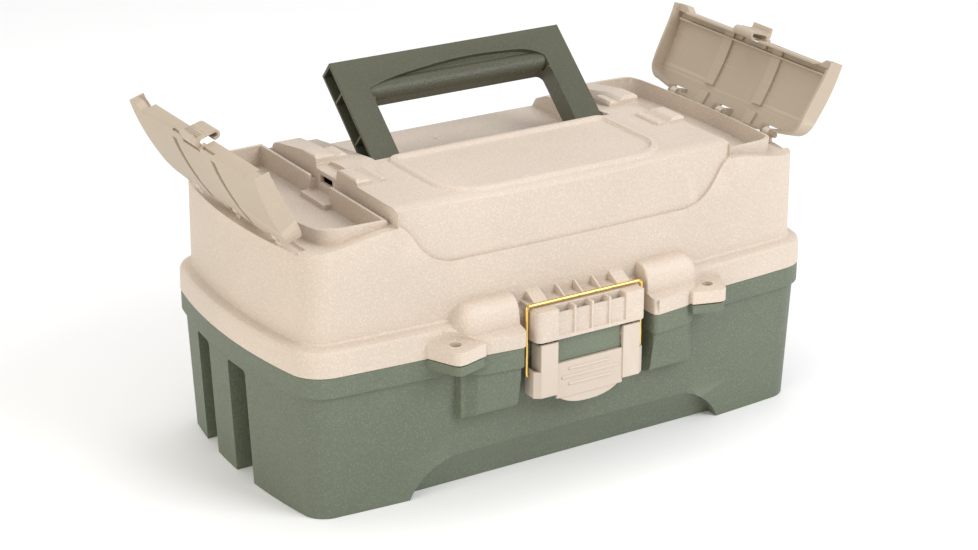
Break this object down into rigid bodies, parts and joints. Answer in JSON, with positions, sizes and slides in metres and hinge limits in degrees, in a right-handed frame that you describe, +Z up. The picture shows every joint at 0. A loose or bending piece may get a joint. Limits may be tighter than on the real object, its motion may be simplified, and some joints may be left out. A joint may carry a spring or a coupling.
{
  "type": "fishing tackle box",
  "caption": "Lidded fishing tackle box with a bin under a lift-up door at each end of the lid, folding carry handle, wire bail latch and trays that rise as the lid opens.",
  "frame": {"origin": "centre of the base outline, on the surface the feet rest on", "axes": "+X along the length to the right seen from the front, +Y to the rear, +Z up"},
  "size_m": [0.453, 0.2444, 0.2488],
  "materials": {
    "green_shell": "moulded, fine grain",
    "cream_shell": "moulded, fine grain with smooth ledges",
    "tan_door": "moulded, satin",
    "tan_catch": "moulded, satin",
    "olive_handle": "moulded, pebbled",
    "cream_lever": "moulded, satin",
    "brass_wire": "plated wire",
    "tray_plastic": "moulded, satin",
    "divider_plastic": "moulded, satin",
    "arm_plastic": "moulded, satin",
    "steel_pin": "drawn rod",
    "rivet_metal": "tumbled"
  },
  "bodies": {
    "base": {"base_tub": "green_shell", "lid_hinge_pins": "steel_pin", "base_rivets": "rivet_metal"},
    "lid": {"lid_shell": "cream_shell", "left_lid_arm": "arm_plastic", "right_lid_arm": "arm_plastic", "lid_arm_rivets": "rivet_metal"},
    "left_front_arm": {"left_tray_arm": "arm_plastic"},
    "right_front_arm": {"right_tray_arm": "arm_plastic"},
    "lower_tray": {"lower_tray": "tray_plastic", "lower_tray_dividers": "divider_plastic", "lower_tray_rivets": "rivet_metal"},
    "upper_tray": {"upper_tray": "tray_plastic", "upper_tray_dividers": "divider_plastic", "upper_tray_rivets": "rivet_metal"},
    "left_door": {"left_door": "tan_door"},
    "right_door": {"right_door": "tan_door"},
    "left_catch": {"left_door_catch": "tan_catch"},
    "right_catch": {"right_door_catch": "tan_catch"},
    "handle": {"handle": "olive_handle"},
    "latch_lever": {"latch_lever": "cream_lever"},
    "latch_bail": {"latch_bail": "brass_wire"}
  },
  "joints": [
    {"name": "lid_hinge", "type": "hinge", "parent": "base", "child": "lid", "pos_m": [0, 0.1128, 0.101], "axis": [-1, 0, 0], "range_deg": [0, 95]},
    {"name": "left_front_arm_hinge", "type": "hinge", "parent": "base", "child": "left_front_arm", "pos_m": [0, 0.0428, 0.091], "axis": [-1, 0, 0], "range_deg": [0, 95]},
    {"name": "right_front_arm_hinge", "type": "hinge", "parent": "base", "child": "right_front_arm", "pos_m": [0, 0.0428, 0.091], "axis": [-1, 0, 0], "range_deg": [0, 95]},
    {"name": "lower_tray_hinge", "type": "hinge", "parent": "lid", "child": "lower_tray", "pos_m": [0, 0.07551, 0.10492], "axis": [-1, 0, 0], "range_deg": [-95, 0]},
    {"name": "upper_tray_hinge", "type": "hinge", "parent": "lid", "child": "upper_tray", "pos_m": [0, 0.03821, 0.10884], "axis": [-1, 0, 0], "range_deg": [-95, 0]},
    {"name": "left_door_hinge", "type": "hinge", "parent": "lid", "child": "left_door", "pos_m": [-0.191, 0, 0.1845], "axis": [0, 1, 0], "range_deg": [0, 107.9]},
    {"name": "right_door_hinge", "type": "hinge", "parent": "lid", "child": "right_door", "pos_m": [0.191, 0, 0.1845], "axis": [0, -1, 0], "range_deg": [0, 107.9]},
    {"name": "left_catch_hinge", "type": "hinge", "parent": "left_door", "child": "left_catch", "pos_m": [-0.22067, 0, 0.2344], "axis": [0, 1, 0], "range_deg": [0, 12], "stiffness_Nm_per_rad": 0.3},
    {"name": "right_catch_hinge", "type": "hinge", "parent": "right_door", "child": "right_catch", "pos_m": [0.22067, 0, 0.2344], "axis": [0, -1, 0], "range_deg": [0, 12], "stiffness_Nm_per_rad": 0.3},
    {"name": "handle_hinge", "type": "hinge", "parent": "lid", "child": "handle", "pos_m": [0, 0.0064, 0.1883], "axis": [1, 0, 0], "range_deg": [-41.4, 48.6]},
    {"name": "latch_hinge", "type": "hinge", "parent": "base", "child": "latch_lever", "pos_m": [0, -0.1153, 0.0925], "axis": [-1, 0, 0], "range_deg": [0, 110]},
    {"name": "bail_hinge", "type": "hinge", "parent": "latch_lever", "child": "latch_bail", "pos_m": [0, -0.112, 0.076], "axis": [-1, 0, 0], "range_deg": [-143, 0]}
  ],
  "couplings": [
    {"joint": "left_front_arm_hinge", "follows": "lid_hinge", "ratio": 1},
    {"joint": "right_front_arm_hinge", "follows": "lid_hinge", "ratio": 1},
    {"joint": "lower_tray_hinge", "follows": "lid_hinge", "ratio": -1},
    {"joint": "upper_tray_hinge", "follows": "lid_hinge", "ratio": -1},
    {"joint": "bail_hinge", "follows": "latch_hinge", "ratio": -1.3}
  ]
}
